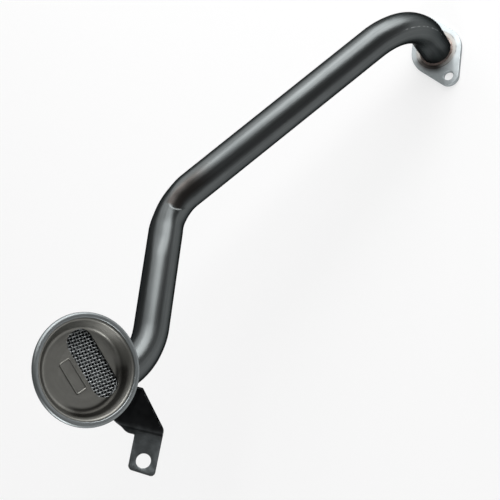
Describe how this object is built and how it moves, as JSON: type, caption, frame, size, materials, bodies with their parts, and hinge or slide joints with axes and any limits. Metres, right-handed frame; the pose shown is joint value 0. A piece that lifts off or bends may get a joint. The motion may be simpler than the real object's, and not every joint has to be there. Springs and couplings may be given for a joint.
{
  "type": "oil pickup tube",
  "caption": "Bent steel suction tube for an engine's oil pump, with a two-bolt flange at one end and a screened, dished inlet with a support bracket at the other.",
  "frame": {"origin": "centre of the tube's bore on the flange's mounting face", "axes": "+Z out of the engine along the tube's first straight run, +X through the flange's bolt holes"},
  "size_m": [0.271, 0.2943, 0.2086],
  "materials": {
    "tube_steel": "dark, smooth and slightly oily",
    "flange_steel": "bright satin",
    "braze": "dull copper braze",
    "housing_steel": "grey drawn sheet",
    "cover_steel": "warm grey drawn sheet",
    "screen_wire": "bright woven wire",
    "bracket_steel": "dark pressed sheet"
  },
  "bodies": {
    "root": {"pickup_tube": "tube_steel", "mounting_flange": "flange_steel", "flange_braze": "braze", "screen_housing": "housing_steel", "housing_braze": "braze", "inlet_cover": "cover_steel", "screen_mesh": "screen_wire", "support_bracket": "bracket_steel"}
  },
  "joints": []
}
